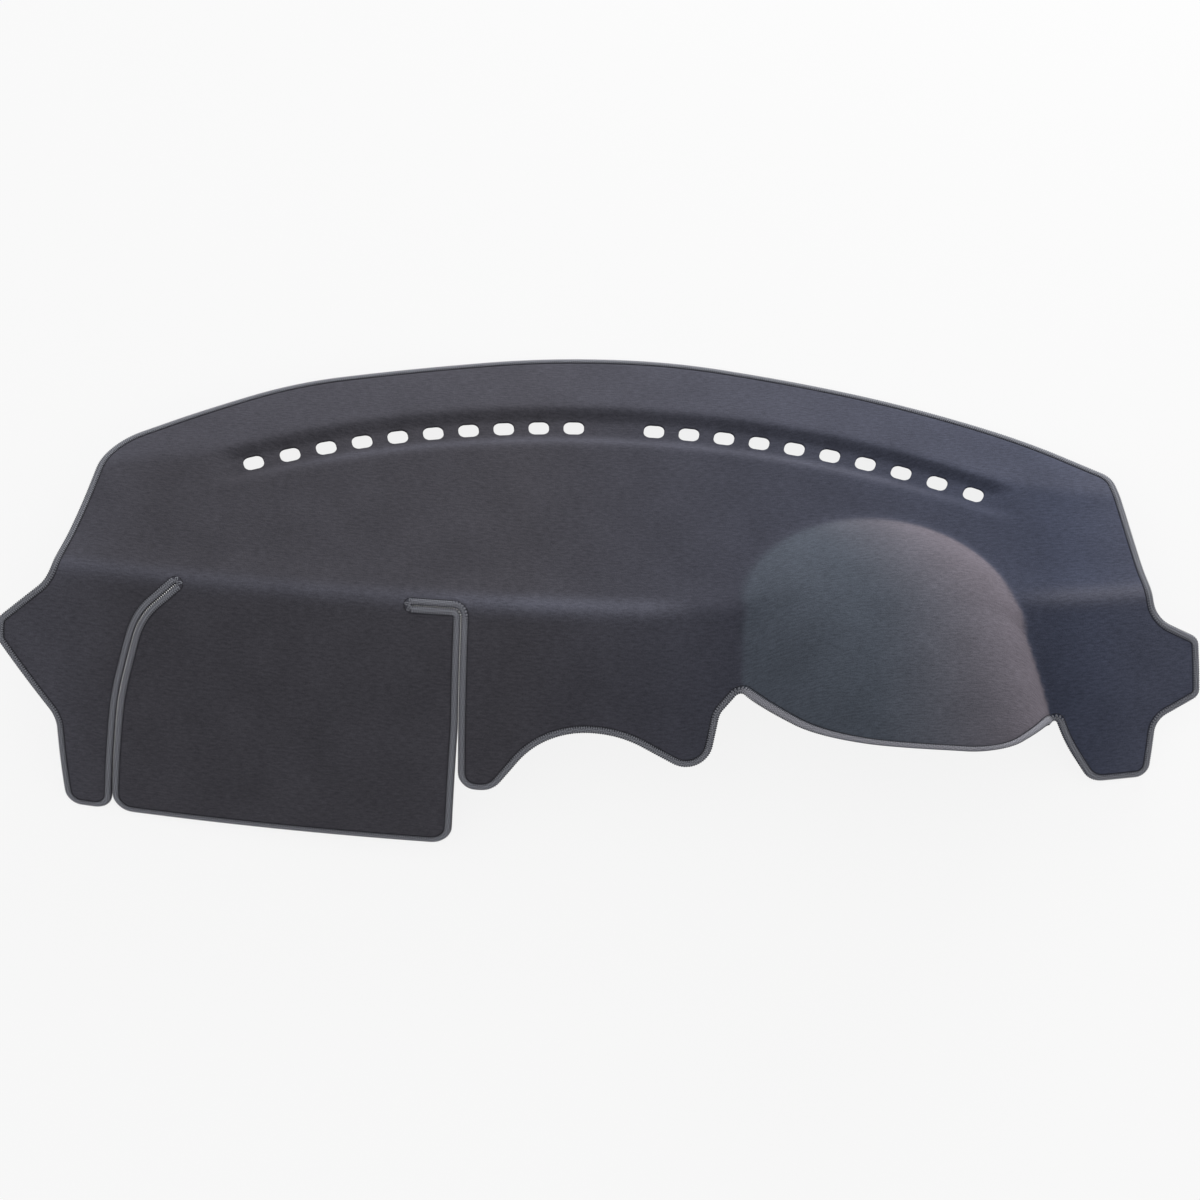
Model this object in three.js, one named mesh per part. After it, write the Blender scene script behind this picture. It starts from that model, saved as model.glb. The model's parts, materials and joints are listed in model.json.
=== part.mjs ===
// Moulded carpet mat that covers the top of a dashboard, for a car with its driver on the right.
// One sheet of needled carpet is pressed to the dashboard's form, cut to its outline and
// overlocked along every outer edge. Millimetres: x across the car, y towards the windscreen, z up.

import * as THREE from 'three';

// Carpet and the thread round its edge
const CARPET_THICKNESS = 4;
const THREAD_THICKNESS = 0.8;
const THREAD_REACH = 6.5;
const THREAD_GAP = 0.35;

// Attitude of the mat as it lies on a floor
const REST_TILT_DEG = 16.9;
const REST_ROLL_DEG = 2.3;

// Crease between the top and the face: its ends lie further back than its middle
const CREASE_SWEEP = 46.8;
const CREASE_SWEEP_AT = 600;
const CREASE_SOFTNESS = 9;
const LIP_HEIGHT = 2.5;
const LIP_BACK = 50;
const LIP_FRONT = 25;

// The top is flat in the middle and falls a little to both ends
const FLAT_HALF_WIDTH = 200;
const END_DROP = 26;
const END_DROP_RUN = 530;

// The face below the crease rolls downwards on a large radius
const FACE_START_DEG = 20;
const FACE_RADIUS = 380;

// Demister channel with its slots, just in front of the windscreen
const CHANNEL_SETBACK = 279.3;
const CHANNEL_SWEEP = 80;
const CHANNEL_SKEW = 6;
const CHANNEL_SWEEP_AT = 470;
const CHANNEL_EASE_OUT = 60;
const CHANNEL_DEPTH = 9;
const CHANNEL_FRONT_RUN = 24;
const CHANNEL_REAR_RUN = 14;
const CHANNEL_END_RUN = 35;
const CHANNEL_SLOT_MARGIN = 1.5;
const CHANNEL_END_MARGIN = 6;
const SLOTS_PER_SIDE = 10;
const SLOT_PITCH = 44.6;
const SLOT_MIDDLE_GAP = 102.4;
const SLOT_ROW_CENTRE = 12;
const SLOT_LENGTH = 26;
const SLOT_WIDTH = 21;
const SLOT_CORNER = 8.5;

// Strip behind the channel, which falls towards the glass
const REAR_FOLD_SETBACK = 16;
const REAR_FALL_DEG = 12;
const REAR_FOLD_SOFTNESS = 8;

// Hood over the instruments: a dome with a soft left side, a steep right side and an open front
const HOOD_AXIS = 335;
const HOOD_HEIGHT = 42;
const HOOD_FORWARD_FALL = 57;
const HOOD_FORWARD_RUN = 185;
const HOOD_LEFT_WIDTH = 171;
const HOOD_RIGHT_WIDTH = 168;
const HOOD_RIGHT_FLARE = 0.39;
const HOOD_BACK_START = -20;
const HOOD_BACK_LENGTH = 145;
const HOOD_LEFT_POWER = 2.6;
const HOOD_RIGHT_POWER = 5;
const HOOD_BACK_POWER = 3;
const HOOD_BLEND = 14;

// Slits between the panels of the face
const SLIT_WIDTH = 5;
const RELIEF_LENGTH = 59;
const RELIEF_DEPTH = 9;
const LEG_LENGTH = 307;
const FLAP_LENGTH = 306;
const FLAP_RIGHT = -167;
const FLAP_TAPER = 9;

// The cut outline, as knots on the flat sheet: across, up the sheet from the crease, corner radius.
// A knot whose radius is FREE is rounded as far as its two sides allow.
const FREE = Infinity;
const LEFT_END = [
  [-629, 194, 110],
  [-646, 75, FREE],
  [-668, -20, 60],
  [-729, -76, 12],
  [-729, -101, 10],
  [-655, -188, 40],
  [-653, -LEG_LENGTH, 18],
];
const LEFT_SLIT = [
  [-597, -LEG_LENGTH, 22],
  [-577, -150, 400],
  [-553, -50, 90],
  [-508, -7, 0],
];
const FLAP_SIDE = [
  [FLAP_RIGHT - FLAP_TAPER, -FLAP_LENGTH, 24],
  [FLAP_RIGHT, -RELIEF_DEPTH - SLIT_WIDTH / 2, 9],
  [FLAP_RIGHT - RELIEF_LENGTH, -RELIEF_DEPTH - SLIT_WIDTH / 2, SLIT_WIDTH / 2],
  [FLAP_RIGHT - RELIEF_LENGTH, -RELIEF_DEPTH + SLIT_WIDTH / 2, SLIT_WIDTH / 2],
  [FLAP_RIGHT + SLIT_WIDTH, -RELIEF_DEPTH + SLIT_WIDTH / 2, 12],
];
const CENTRE_PANEL = [
  [FLAP_RIGHT + SLIT_WIDTH, -226, 24],
  [-124, -226, 26],
  [-79, -167, FREE],
  [-30, -146, FREE],
  [30, -150, FREE],
  [129, -204, 30],
  [143, -124, 25],
];
const HOOD_RIM = [
  [168, -95, 8],
  [205, -143, FREE],
  [248, -192, FREE],
  [300, -224, FREE],
  [360, -238, FREE],
  [442, -254, FREE],
  [480, -243, FREE],
  [513, -205, FREE],
  [551, -140, 6],
];
const RIGHT_END = [
  [568, -178, FREE],
  [604, -230, 28],
  [674, -229, 15],
  [676, -157, 26],
  [730, -131, 10],
  [726, -63, 12],
  [673, -35, 45],
  [662, 28, 150],
  [644, 180, 32],
];
const REAR_EDGE = [
  [530, 262, FREE],
  [380, 324, FREE],
  [230, 369, FREE],
  [80, 403, FREE],
  [-85, 402, FREE],
  [-240, 372, FREE],
  [-400, 334, FREE],
  [-510, 277, FREE],
];

// How finely the sheet is faceted
const EDGE_STEP = 34;
const RIM_STEP = 17;
const TURN_STEP = 10;
const TURN_REACH = 60;
const ARC_STEP_DEG = 26;
const SHORTEST_EDGE = 1.6;
const INSET = THREAD_REACH + 1.5;
const SHEET_COLUMN = 52;
const FLAT_ROWS = 3;
const REAR_ROWS = [10, 48];
const HOOD_CELL = 25;
const FACE_ROW = 30;
const EDGE_CLEARANCE = 9;
const SLOT_CLEARANCE = 3;

// Limits that only keep the sums stable: the steepest face, the least radius, and for the triangles
// a bend that keeps points off one line and the least gain worth a turned edge
const STEEPEST_SINE = 0.999;
const LEAST_RATIO = 1e-9;
const POINT_BEND = 1e-6;
const LEAST_GAIN = 1e-3;

const radians = THREE.MathUtils.degToRad;
const FACE_START = radians(FACE_START_DEG);

// A straight ramp whose start is rounded over the distance soft on both sides of zero
function softRamp(distance, soft) {
  if (distance <= -soft) return 0;
  if (distance >= soft) return distance;
  return (distance + soft) ** 2 / (4 * soft);
}

// The higher of two heights, with the valley between them filled by a fillet
function blendedMax(a, b, blend) {
  const near = Math.max(blend - Math.abs(a - b), 0) / blend;
  return Math.max(a, b) + near * near * blend / 4;
}

function creaseLine(x) {
  return CREASE_SWEEP * (x / CREASE_SWEEP_AT) ** 2;
}

function endDrop(x) {
  return END_DROP * (Math.max(Math.abs(x) - FLAT_HALF_WIDTH, 0) / END_DROP_RUN) ** 2;
}

// The slots lie on a shallow parabola, which straightens past its last slots
function channelLine(x) {
  const beyond = Math.max(Math.abs(x) - CHANNEL_SWEEP_AT, 0);
  const eased = CHANNEL_EASE_OUT * (1 - Math.exp(-beyond / CHANNEL_EASE_OUT));
  const across = Math.sign(x) * (Math.min(Math.abs(x), CHANNEL_SWEEP_AT) + eased) / CHANNEL_SWEEP_AT;
  return CHANNEL_SETBACK - CHANNEL_SKEW * across - CHANNEL_SWEEP * across ** 2;
}

const CHANNEL_FLOOR_HALF = SLOT_WIDTH / 2 + CHANNEL_SLOT_MARGIN;
const SLOT_ROW_HALF = SLOT_MIDDLE_GAP / 2 + (SLOTS_PER_SIDE - 1) * SLOT_PITCH + SLOT_LENGTH / 2;
const CHANNEL_HALF = SLOT_ROW_HALF + CHANNEL_END_MARGIN;
const CHANNEL_REAR = CHANNEL_FLOOR_HALF + CHANNEL_REAR_RUN;
const CHANNEL_FRONT = -CHANNEL_FLOOR_HALF - CHANNEL_FRONT_RUN;

function channelDepth(x, behind) {
  const step = THREE.MathUtils.smoothstep;
  const front = step(behind, CHANNEL_FRONT, -CHANNEL_FLOOR_HALF);
  const rear = 1 - step(behind, CHANNEL_FLOOR_HALF, CHANNEL_REAR);
  const fromMiddle = Math.abs(x - SLOT_ROW_CENTRE);
  const ends = 1 - step(fromMiddle, CHANNEL_HALF, CHANNEL_HALF + CHANNEL_END_RUN);
  return CHANNEL_DEPTH * front * rear * ends;
}

// Drop of the face at a plan distance in front of the crease, on its rolling radius
function faceDrop(forward) {
  const sine = Math.min(Math.sin(FACE_START) + forward / FACE_RADIUS, STEEPEST_SINE);
  return FACE_RADIUS * (Math.cos(FACE_START) - Math.sqrt(1 - sine * sine));
}

// Plan distance that a length down the face covers
function faceRun(length) {
  return FACE_RADIUS * (Math.sin(FACE_START + length / FACE_RADIUS) - Math.sin(FACE_START));
}

// Soft lip that stands along the crease
function lip(behind) {
  const reach = Math.min(Math.abs(behind) / (behind > 0 ? LIP_BACK : LIP_FRONT), 1);
  return LIP_HEIGHT * (1 - reach * reach) ** 2;
}

function sheetHeight(x, y) {
  const behindCrease = y - creaseLine(x);
  const behindChannel = y - channelLine(x);
  const rearFall = Math.tan(radians(REAR_FALL_DEG))
    * softRamp(behindChannel - CHANNEL_FLOOR_HALF - REAR_FOLD_SETBACK, REAR_FOLD_SOFTNESS);
  return lip(behindCrease) - endDrop(x) - rearFall - channelDepth(x, behindChannel)
    - faceDrop(softRamp(-behindCrease, CREASE_SOFTNESS));
}

// The hood meets the sheet where its radius ratio is one: a half ellipse behind, two sides in front
function hoodHeight(x, y) {
  const behind = y - creaseLine(HOOD_AXIS);
  const crest = HOOD_HEIGHT - HOOD_FORWARD_FALL * (Math.min(behind, 0) / HOOD_FORWARD_RUN) ** 2;
  const flare = HOOD_RIGHT_FLARE * Math.max(HOOD_BACK_START - behind, 0);
  const halfWidth = x < HOOD_AXIS ? HOOD_LEFT_WIDTH : HOOD_RIGHT_WIDTH + flare;
  const across = (x - HOOD_AXIS) / halfWidth;
  const back = Math.max(behind - HOOD_BACK_START, 0) / HOOD_BACK_LENGTH;
  const ratio = Math.hypot(across, back) + LEAST_RATIO;
  const side = across / ratio;
  const sidePower = side < 0 ? HOOD_LEFT_POWER : HOOD_RIGHT_POWER;
  const power = HOOD_BACK_POWER + (sidePower - HOOD_BACK_POWER) * Math.abs(side);
  const fall = crest + faceDrop(Math.max(-behind, 0));
  return crest - endDrop(x) - fall * ratio ** power;
}

// The mould carries a point of the flat sheet to its place on the upper surface
function mould(x, up) {
  const y = creaseLine(x) + (up > 0 ? up : -faceRun(-up));
  return new THREE.Vector3(x, y, blendedMax(sheetHeight(x, y), hoodHeight(x, y), HOOD_BLEND));
}

function mouldNormal(x, up) {
  const step = 0.5;
  const along = mould(x + step, up).sub(mould(x - step, up));
  const away = mould(x, up + step).sub(mould(x, up - step));
  return along.cross(away).normalize();
}

// Both sides of a slit that runs up a centre line, round its end and back down
function slitKnots(centre, width) {
  const places = centre.map(([x, up]) => new THREE.Vector2(x, up));
  const leftOf = (a, b) => {
    const way = b.clone().sub(a).normalize();
    return new THREE.Vector2(-way.y, way.x);
  };
  const mitres = places.map((place, i) => {
    const before = leftOf(places[Math.max(i - 1, 0)], places[Math.max(i, 1)]);
    const last = places.length - 1;
    const after = leftOf(places[Math.min(i, last - 1)], places[Math.min(i + 1, last)]);
    return before.clone().add(after).multiplyScalar(1 / (1 + before.dot(after)));
  });
  const side = (sign) => places.map((place, i) => {
    const shifted = place.clone().addScaledVector(mitres[i], sign * width / 2);
    return [shifted.x, shifted.y, Math.max(centre[i][2], width / 2)];
  });
  return [...side(1), ...side(-1).reverse()];
}

// Points along a closed outline of knots, each corner an arc of its radius
function roundedOutline(knots, stepAt) {
  const places = knots.map(([x, up]) => new THREE.Vector2(x, up));
  const count = places.length;
  const arcs = places.map((corner, i) => {
    const toBefore = places[(i + count - 1) % count].clone().sub(corner);
    const toAfter = places[(i + 1) % count].clone().sub(corner);
    const room = Math.min(toBefore.length(), toAfter.length()) / 2;
    const before = toBefore.normalize();
    const after = toAfter.normalize();
    const half = Math.acos(THREE.MathUtils.clamp(before.dot(after), -1, 1)) / 2;
    const radius = Math.min(knots[i][2], room * Math.tan(half));
    const centre = corner.clone().addScaledVector(before.clone().add(after).normalize(),
      radius / Math.sin(half));
    const start = corner.clone().addScaledVector(before, radius / Math.tan(half)).sub(centre);
    const turn = Math.PI - 2 * half;
    const sense = Math.sign(after.x * before.y - after.y * before.x);
    const wanted = Math.max(turn / radians(ARC_STEP_DEG), turn * radius / stepAt(corner));
    const parts = Math.max(1, Math.min(Math.ceil(wanted), Math.floor(turn * radius / SHORTEST_EDGE)));
    const points = [];
    for (let k = 0; k <= parts; k += 1) {
      points.push(start.clone().rotateAround(new THREE.Vector2(), sense * turn * k / parts).add(centre));
    }
    return points;
  });
  const outline = [];
  arcs.forEach((points, i) => {
    outline.push(...points);
    const from = points[points.length - 1];
    const to = arcs[(i + 1) % count][0];
    const parts = Math.ceil(from.distanceTo(to) / stepAt(from));
    for (let k = 1; k < parts; k += 1) outline.push(from.clone().lerp(to, k / parts));
  });
  return outline.filter((point, i) => (
    point.distanceTo(outline[(i + 1) % outline.length]) > SHORTEST_EDGE / 2));
}

// The same outline, moved inwards by a distance
function insetOutline(outline, distance) {
  const count = outline.length;
  return outline.map((point, i) => {
    const way = (a, b) => {
      const edge = b.clone().sub(a).normalize();
      return new THREE.Vector2(-edge.y, edge.x);
    };
    const before = way(outline[(i + count - 1) % count], point);
    const after = way(point, outline[(i + 1) % count]);
    const mitre = before.clone().add(after).multiplyScalar(1 / (1 + before.dot(after)));
    return point.clone().addScaledVector(mitre, distance);
  });
}

function isInside(point, outline) {
  let inside = false;
  outline.forEach((a, i) => {
    const b = outline[(i + 1) % outline.length];
    const crosses = (a.y > point.y) !== (b.y > point.y);
    if (crosses && point.x < (b.x - a.x) * (point.y - a.y) / (b.y - a.y) + a.x) inside = !inside;
  });
  return inside;
}

function distanceTo(point, outline) {
  const foot = new THREE.Vector3();
  const line = new THREE.Line3();
  const place = new THREE.Vector3(point.x, point.y, 0);
  return Math.min(...outline.map((a, i) => {
    const b = outline[(i + 1) % outline.length];
    line.start.set(a.x, a.y, 0);
    line.end.set(b.x, b.y, 0);
    return line.closestPointToPoint(place, true, foot).distanceTo(place);
  }));
}

// Demister slots: rounded oblongs that follow the channel, from left to right
function slotOutlines() {
  const slots = [];
  for (const side of [-1, 1]) {
    for (let i = 0; i < SLOTS_PER_SIDE; i += 1) {
      const x = SLOT_ROW_CENTRE + side * (SLOT_MIDDLE_GAP / 2 + i * SLOT_PITCH);
      const centre = new THREE.Vector2(x, channelLine(x) - creaseLine(x));
      const slope = channelLine(x + 1) - creaseLine(x + 1) - centre.y;
      const corners = [[-1, -1], [1, -1], [1, 1], [-1, 1]].map(([a, b]) => {
        const corner = new THREE.Vector2(a * SLOT_LENGTH / 2, b * SLOT_WIDTH / 2);
        corner.rotateAround(new THREE.Vector2(), Math.atan(slope)).add(centre);
        return [corner.x, corner.y, SLOT_CORNER];
      });
      slots.push(roundedOutline(corners, () => SLOT_LENGTH));
    }
  }
  return slots;
}

// Points inside the sheet: close rows where the mould turns, and a close grid on the hood
function sheetPoints(region, slots) {
  const points = [];
  const left = Math.min(...region.map((point) => point.x));
  const right = Math.max(...region.map((point) => point.x));
  const hoodLeft = HOOD_AXIS - HOOD_LEFT_WIDTH - HOOD_CELL;
  const hoodRight = HOOD_RIM[HOOD_RIM.length - 1][0] + HOOD_CELL;
  const hoodBack = HOOD_BACK_LENGTH + HOOD_BACK_START + HOOD_CELL;
  const onHood = (x, up) => x > hoodLeft && x < hoodRight && up < hoodBack;
  const slotRows = [CHANNEL_FRONT, CHANNEL_FRONT + CHANNEL_FRONT_RUN / 2, -CHANNEL_FLOOR_HALF,
    CHANNEL_FLOOR_HALF, CHANNEL_FLOOR_HALF + CHANNEL_REAR_RUN / 2, CHANNEL_REAR];
  const channelUp = (x, behind) => channelLine(x) - creaseLine(x) + behind;
  for (let x = left; x <= right; x += SHEET_COLUMN) {
    for (const up of [LIP_BACK, LIP_BACK / 2, CREASE_SOFTNESS, 0, -CREASE_SOFTNESS]) {
      if (!onHood(x, up)) points.push([x, up]);
    }
    for (let up = -CREASE_SOFTNESS - FACE_ROW; up > -LEG_LENGTH; up -= FACE_ROW) {
      if (!onHood(x, up)) points.push([x, up]);
    }
    const front = channelUp(x, CHANNEL_FRONT);
    for (let k = 1; k < FLAT_ROWS; k += 1) {
      const up = LIP_BACK + k * (front - LIP_BACK) / FLAT_ROWS;
      if (!onHood(x, up)) points.push([x, up]);
    }
    for (const behind of REAR_ROWS) points.push([x, channelUp(x, CHANNEL_REAR + behind)]);
  }
  const halfPitch = SLOT_PITCH / 2;
  for (let out = SLOT_MIDDLE_GAP / 2 - halfPitch; out < CHANNEL_HALF + CHANNEL_END_RUN + halfPitch;
    out += halfPitch) {
    for (const x of [SLOT_ROW_CENTRE - out, SLOT_ROW_CENTRE + out]) {
      for (const behind of slotRows) points.push([x, channelUp(x, behind)]);
    }
  }
  for (let x = hoodLeft; x <= hoodRight; x += HOOD_CELL) {
    for (let up = hoodBack; up > -FLAP_LENGTH; up -= HOOD_CELL) points.push([x, up]);
  }
  return points.map(([x, up]) => new THREE.Vector2(x, up)).filter((point) => (
    isInside(point, region) && distanceTo(point, region) > EDGE_CLEARANCE
    && !slots.some((slot) => isInside(point, slot) || distanceTo(point, slot) < SLOT_CLEARANCE)));
}

// Triangles that fill a region round its holes and through inner points, turned until none is thin
function fillRegion(region, holes, inner) {
  const bulge = (p) => (
    new THREE.Vector2(p.x + POINT_BEND * p.y * p.y, p.y + POINT_BEND * p.x * p.x));
  const rings = [region, ...holes];
  const places = [...rings.flat(), ...inner].map(bulge);
  const count = places.length;
  const fixed = new Set();
  let first = 0;
  for (const ring of rings) {
    ring.forEach((point, i) => {
      const a = first + i;
      const b = first + (i + 1) % ring.length;
      fixed.add(a * count + b).add(b * count + a);
    });
    first += ring.length;
  }
  const signedArea = (a, b, c) => (
    (places[b].x - places[a].x) * (places[c].y - places[a].y)
    - (places[c].x - places[a].x) * (places[b].y - places[a].y));
  const triangles = THREE.ShapeUtils.triangulateShape(region.map(bulge), holes.map((h) => h.map(bulge)))
    .map(([a, b, c]) => (signedArea(a, b, c) > 0 ? [a, b, c] : [a, c, b]));
  const owner = new Map();
  const claim = (index) => {
    const [a, b, c] = triangles[index];
    owner.set(a * count + b, index).set(b * count + c, index).set(c * count + a, index);
  };
  triangles.forEach((triangle, index) => claim(index));
  const apexOf = (index, a, b) => triangles[index].find((corner) => corner !== a && corner !== b);
  const inCircle = (a, b, c, d) => {
    const rows = [a, b, c].map((i) => {
      const x = places[i].x - places[d].x;
      const y = places[i].y - places[d].y;
      return [x, y, x * x + y * y];
    });
    const [p, q, r] = rows;
    return p[0] * (q[1] * r[2] - q[2] * r[1]) - p[1] * (q[0] * r[2] - q[2] * r[0])
      + p[2] * (q[0] * r[1] - q[1] * r[0]) > LEAST_GAIN;
  };
  const settle = (edges) => {
    while (edges.length > 0) {
      const [a, b] = edges.pop();
      const one = owner.get(a * count + b);
      const two = owner.get(b * count + a);
      if (one === undefined || two === undefined || fixed.has(a * count + b)) continue;
      const c = apexOf(one, a, b);
      const d = apexOf(two, a, b);
      if (!inCircle(a, b, c, d)) continue;
      if (signedArea(c, a, d) <= 0 || signedArea(d, b, c) <= 0) continue;
      owner.delete(a * count + b);
      owner.delete(b * count + a);
      triangles[one] = [c, a, d];
      triangles[two] = [d, b, c];
      claim(one);
      claim(two);
      edges.push([a, d], [d, b], [b, c], [c, a]);
    }
  };
  settle(triangles.flatMap(([a, b, c]) => [[a, b], [b, c], [c, a]]));
  for (let point = count - inner.length; point < count; point += 1) {
    const index = triangles.findIndex(([a, b, c]) => (
      signedArea(a, b, point) >= 0 && signedArea(b, c, point) >= 0 && signedArea(c, a, point) >= 0));
    const [a, b, c] = triangles[index];
    triangles[index] = [a, b, point];
    triangles.push([b, c, point], [c, a, point]);
    claim(index);
    claim(triangles.length - 2);
    claim(triangles.length - 1);
    settle([[a, b], [b, c], [c, a]]);
  }
  return triangles;
}

function solidFrom(points, triangles) {
  const geometry = new THREE.BufferGeometry();
  const positions = points.flatMap((point) => [point.x, point.y, point.z]);
  geometry.setAttribute('position', new THREE.Float32BufferAttribute(positions, 3));
  geometry.setIndex(triangles.flat());
  geometry.computeVertexNormals();
  return geometry;
}

// The sheet: upper and lower surface a thickness apart, closed by a wall along every cut edge
function carpetGeometry(outline, ring, slots) {
  const edge = outline.length;
  const strip = outline.flatMap((point, i) => {
    const next = (i + 1) % edge;
    return [[i, next, edge + next], [i, edge + next, edge + i]];
  });
  const inner = sheetPoints(ring, slots);
  const filled = fillRegion(ring, slots, inner).map((corners) => corners.map((i) => i + edge));
  const flat = [...outline, ...ring, ...slots.flat(), ...inner];
  const upper = [...strip, ...filled];
  const top = flat.map((point) => mould(point.x, point.y));
  const bottom = flat.map((point, i) => (
    top[i].clone().addScaledVector(mouldNormal(point.x, point.y), -CARPET_THICKNESS)));
  const count = flat.length;
  const edges = upper.flatMap(([a, b, c]) => [[a, b], [b, c], [c, a]]);
  const directed = new Set(edges.map(([a, b]) => a * count + b));
  const open = edges.filter(([a, b]) => !directed.has(b * count + a));
  const lower = upper.map(([a, b, c]) => [a + count, c + count, b + count]);
  const walls = open.flatMap(([a, b]) => [[b, a, a + count], [b, a + count, b + count]]);
  return solidFrom([...top, ...bottom], [...upper, ...lower, ...walls]);
}

// The overlock thread: a wrap with a C-shaped section that closes round the whole outline
function overlockGeometry(outline, ring) {
  const near = THREAD_GAP;
  const far = THREAD_GAP + THREAD_THICKNESS;
  const sections = outline.map((point, i) => {
    const inside = ring[i];
    const up = mouldNormal(point.x, point.y);
    const inUp = mouldNormal(inside.x, inside.y);
    const top = mould(point.x, point.y);
    const bottom = top.clone().addScaledVector(up, -CARPET_THICKNESS);
    const topIn = mould(inside.x, inside.y);
    const bottomIn = topIn.clone().addScaledVector(inUp, -CARPET_THICKNESS).sub(bottom).normalize();
    topIn.sub(top).normalize();
    const place = (from, inward, along, lift) => (
      from.clone().addScaledVector(inward, along).addScaledVector(up, lift));
    return [
      place(top, topIn, THREAD_REACH, far),
      place(top, topIn, -far, far),
      place(bottom, bottomIn, -far, -far),
      place(bottom, bottomIn, THREAD_REACH, -far),
      place(bottom, bottomIn, THREAD_REACH, -near),
      place(bottom, bottomIn, -near, -near),
      place(top, topIn, -near, near),
      place(top, topIn, THREAD_REACH, near),
    ];
  });
  // Both leaves are split along the same diagonals as the strip of carpet that they cover
  const size = sections[0].length;
  const lowerLeaf = 4;
  const triangles = [];
  sections.forEach((section, i) => {
    const here = i * size;
    const next = ((i + 1) % sections.length) * size;
    for (let k = 0; k < size; k += 1) {
      const after = (k + 1) % size;
      if (k === lowerLeaf) {
        triangles.push([here + k, here + after, next + k], [here + after, next + after, next + k]);
      } else {
        triangles.push([here + k, here + after, next + after], [here + k, next + after, next + k]);
      }
    }
  });
  return solidFrom(sections.flat(), triangles);
}

const KNOTS = [...LEFT_END, ...slitKnots(LEFT_SLIT, SLIT_WIDTH), ...FLAP_SIDE, ...CENTRE_PANEL,
  ...HOOD_RIM, ...RIGHT_END, ...REAR_EDGE];
const rimEnds = [HOOD_RIM[0], HOOD_RIM[HOOD_RIM.length - 1]].map(([x, up]) => new THREE.Vector2(x, up));

// Edges are stepped finely at the crease and where the rim of the hood meets the face
function edgeStep(point) {
  const turns = Math.abs(point.y) < TURN_REACH / 2
    || rimEnds.some((end) => end.distanceTo(point) < TURN_REACH);
  if (turns) return TURN_STEP;
  return point.x > rimEnds[0].x && point.x < rimEnds[1].x && point.y < 0 ? RIM_STEP : EDGE_STEP;
}

const outline = roundedOutline(KNOTS, edgeStep);
const ring = insetOutline(outline, INSET);
const slots = slotOutlines();

const carpet = new THREE.Mesh(
  carpetGeometry(outline, ring, slots),
  new THREE.MeshStandardMaterial({ color: 0x4a4a52, roughness: 0.97, metalness: 0 }),
);
carpet.name = 'carpet_mat';

const overlock = new THREE.Mesh(
  overlockGeometry(outline, ring),
  new THREE.MeshStandardMaterial({ color: 0x5d5e68, roughness: 0.8, metalness: 0 }),
);
overlock.name = 'edge_overlock';

// The mat leans back on its rear edge, and the floor touches its lowest points
const mat = new THREE.Group();
mat.add(carpet, overlock);
mat.rotation.set(-radians(REST_TILT_DEG), radians(REST_ROLL_DEG), 0);
mat.updateMatrixWorld(true);
const box = new THREE.Box3().setFromObject(mat, true);
const middle = box.getCenter(new THREE.Vector3());
mat.position.set(-middle.x, -middle.y, -box.min.z);

export default mat;
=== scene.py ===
import json
import math

import bpy
import numpy as np
from mathutils import Matrix, Vector
from mathutils.geometry import delaunay_2d_cdt


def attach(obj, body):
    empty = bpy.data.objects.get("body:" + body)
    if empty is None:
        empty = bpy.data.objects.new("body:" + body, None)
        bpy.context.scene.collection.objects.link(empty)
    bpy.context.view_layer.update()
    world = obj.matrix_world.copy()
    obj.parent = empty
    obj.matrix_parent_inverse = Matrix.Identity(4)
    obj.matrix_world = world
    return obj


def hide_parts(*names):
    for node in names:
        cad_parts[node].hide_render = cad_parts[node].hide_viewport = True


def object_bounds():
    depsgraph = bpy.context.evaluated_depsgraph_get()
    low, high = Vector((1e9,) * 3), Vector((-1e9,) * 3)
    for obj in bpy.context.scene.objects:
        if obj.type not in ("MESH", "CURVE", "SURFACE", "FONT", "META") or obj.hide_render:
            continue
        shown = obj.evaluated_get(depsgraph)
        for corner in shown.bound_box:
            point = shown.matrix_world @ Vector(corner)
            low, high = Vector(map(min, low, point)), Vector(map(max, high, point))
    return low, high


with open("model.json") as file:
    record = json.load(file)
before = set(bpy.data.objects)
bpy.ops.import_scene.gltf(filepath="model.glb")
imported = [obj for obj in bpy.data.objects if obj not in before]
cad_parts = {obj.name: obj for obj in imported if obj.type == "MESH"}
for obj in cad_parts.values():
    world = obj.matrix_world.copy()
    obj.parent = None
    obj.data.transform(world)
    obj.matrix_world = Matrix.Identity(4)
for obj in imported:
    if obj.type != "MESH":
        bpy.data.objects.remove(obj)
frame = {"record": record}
cad_box = [list(corner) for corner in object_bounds()]

# The mat as it lies: it leans back on its rear edge and on the tips of its two end legs.
# Its form is worked out in millimetres on the mould, x across the car, y towards the windscreen
# and z up, and the flat patch under it that the record names ties the mould to the frame.
MM = 0.001
REST_TILT_DEG = 16.9
REST_ROLL_DEG = 2.3
CARPET_THICKNESS = 4.0
PATCH_ON_MOULD = (-20.0, 150.0, -CARPET_THICKNESS)

rest_turn = np.array(Matrix.Rotation(math.radians(-REST_TILT_DEG), 3, "X")
                     @ Matrix.Rotation(math.radians(REST_ROLL_DEG), 3, "Y"))
patch = next(m for m in frame["record"]["mounts"] if m["name"] == "underside_rest")
rest_origin = np.array(patch["pos_m"]) - rest_turn @ np.array(PATCH_ON_MOULD) * MM


def laid_down(points):
    """Places at rest in metres: the mould's places in millimetres, turned, then moved."""
    return (points * MM) @ rest_turn.T + rest_origin


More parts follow.
